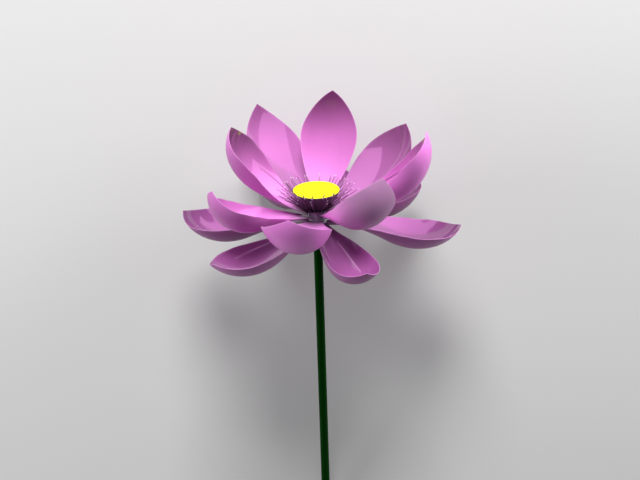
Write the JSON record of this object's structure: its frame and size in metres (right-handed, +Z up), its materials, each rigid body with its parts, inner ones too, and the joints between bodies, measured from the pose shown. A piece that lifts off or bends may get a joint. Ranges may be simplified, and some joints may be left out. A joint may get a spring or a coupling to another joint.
{
  "type": "lotus flower",
  "caption": "Open pink lotus bloom with cupped petals in tiers, a flat yellow receptacle ringed by slim stamens, and a cut green stem, lying on its side.",
  "frame": {"origin": "centre of the bounding box on the surface that the flower lies on", "axes": "+Z up from the surface; +Y along the lying flower, from the cut end of the stem towards the bloom; +X across it"},
  "size_m": [0.2032, 0.3328, 0.1995],
  "materials": {
    "inner_petal": "waxy pink, lighter at the base",
    "outer_petal": "waxy pink-purple, lighter at the base",
    "receptacle": "matt yellow top, dark purple side",
    "stamen": "satin purple with pale tips",
    "stem": "smooth dark green"
  },
  "bodies": {
    "root": {"petal_inner_1": "inner_petal", "petal_inner_2": "inner_petal", "petal_inner_3": "inner_petal", "petal_inner_4": "inner_petal", "petal_inner_5": "inner_petal", "petal_inner_6": "inner_petal", "petal_inner_7": "inner_petal", "petal_inner_8": "inner_petal", "petal_outer_1": "outer_petal", "petal_outer_2": "outer_petal", "petal_outer_3": "outer_petal", "petal_outer_4": "outer_petal", "petal_outer_5": "outer_petal", "petal_outer_6": "outer_petal", "petal_outer_7": "outer_petal", "receptacle": "receptacle", "stamens": "stamen", "stem": "stem"}
  },
  "joints": []
}
